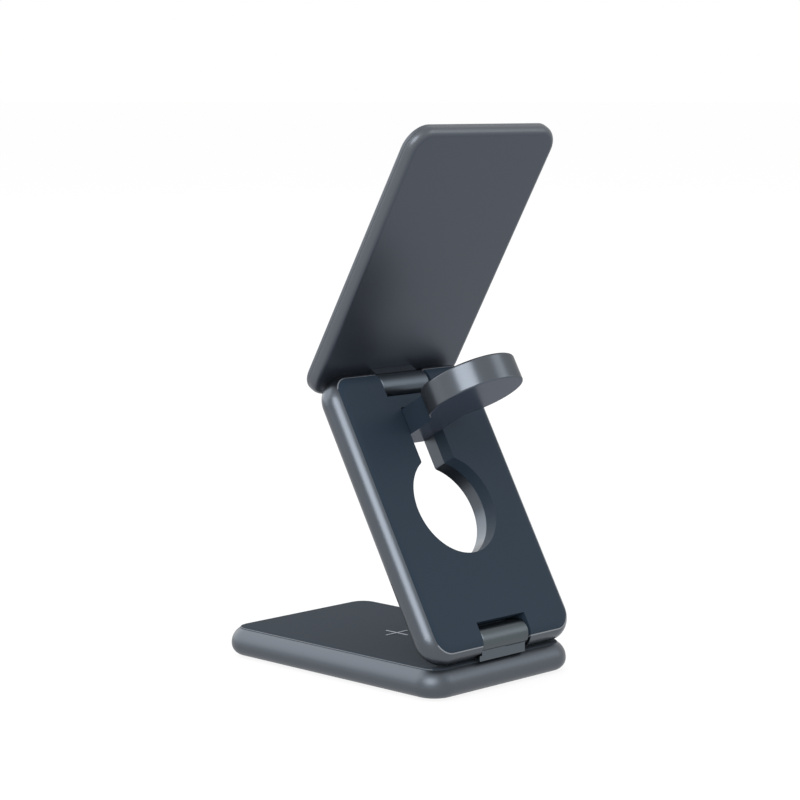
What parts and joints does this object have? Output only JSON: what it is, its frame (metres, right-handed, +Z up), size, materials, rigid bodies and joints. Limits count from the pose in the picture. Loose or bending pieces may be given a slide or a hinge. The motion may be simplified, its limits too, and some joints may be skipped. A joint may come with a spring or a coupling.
{
  "type": "three in one wireless charger",
  "caption": "Z-folding charging stand: base panel for earbuds, leaning middle panel with round cut-out and swing-out watch disc, thin hinged phone panel.",
  "frame": {"origin": "centre of the footprint, on the surface that the feet stand on", "axes": "+Z up, +X along the hinge axes, the user sits at -Y and sees the phone face of the top panel"},
  "size_m": [0.062, 0.0918, 0.1639],
  "materials": {
    "anodised_frame": "satin bead-blasted anodised, blue grey",
    "base_pad": "soft matt",
    "dark_plastic": "fine grained",
    "rubber": "matt",
    "steel": "plain",
    "ferrite": "matt sheet",
    "copper": "wound wire",
    "circuit_board": "solder mask",
    "chip_plastic": "moulded",
    "hinge_metal": "satin anodised",
    "brass": "turned",
    "slate_cover": "smooth matt slate",
    "ribbon": "film",
    "disc_metal": "satin anodised",
    "disc_cap": "smooth, faintly dished",
    "magnet": "nickel plated",
    "top_shell": "satin anodised",
    "phone_pad": "soft touch"
  },
  "bodies": {
    "base": {"base_frame": "anodised_frame", "base_top_pad": "base_pad", "base_bottom_cover": "dark_plastic", "base_feet": "rubber", "base_cover_screws": "steel", "counterweight": "steel", "earbud_ferrite": "ferrite", "earbud_coil": "copper", "main_board": "circuit_board", "board_components": "chip_plastic", "usb_c_socket": "steel", "usb_c_tongue": "chip_plastic", "lower_hinge_leaf": "hinge_metal", "lower_hinge_sleeve": "brass", "lower_hinge_screws": "steel"},
    "middle": {"middle_frame": "anodised_frame", "middle_rear_cover": "slate_cover", "middle_front_cover": "slate_cover", "middle_cover_screws": "steel", "lower_hinge_pin": "steel", "upper_hinge_pin": "steel", "lower_hinge_washers": "steel", "upper_hinge_washers": "steel", "disc_pivot_pin": "steel", "disc_pivot_washers": "steel", "middle_ribbon_cable": "ribbon"},
    "disc": {"disc_housing": "disc_metal", "disc_charging_cap": "disc_cap", "watch_board": "circuit_board", "watch_ferrite": "ferrite", "watch_coil": "copper", "watch_magnet": "magnet"},
    "top": {"top_back_shell": "top_shell", "top_front_plate": "top_shell", "phone_pad": "phone_pad", "phone_ferrite": "ferrite", "phone_coil": "copper", "phone_magnet_ring": "magnet", "top_board": "circuit_board", "upper_hinge_leaf": "hinge_metal", "upper_hinge_sleeve": "brass", "upper_hinge_screws": "steel"}
  },
  "joints": [
    {"name": "lower_fold", "type": "hinge", "parent": "base", "child": "middle", "pos_m": [0, 0.04106, 0.01433], "axis": [1, 0, 0], "range_deg": [-30, 58.2]},
    {"name": "upper_fold", "type": "hinge", "parent": "middle", "child": "top", "pos_m": [0, 0.00023, 0.08504], "axis": [-1, 0, 0], "range_deg": [0, 120]},
    {"name": "disc_swing", "type": "hinge", "parent": "middle", "child": "disc", "pos_m": [0, 0.00701, 0.07331], "axis": [-1, 0, 0], "range_deg": [0, 90]}
  ],
  "couplings": [
    {"joint": "disc_swing", "follows": "upper_fold", "ratio": 0.75}
  ]
}
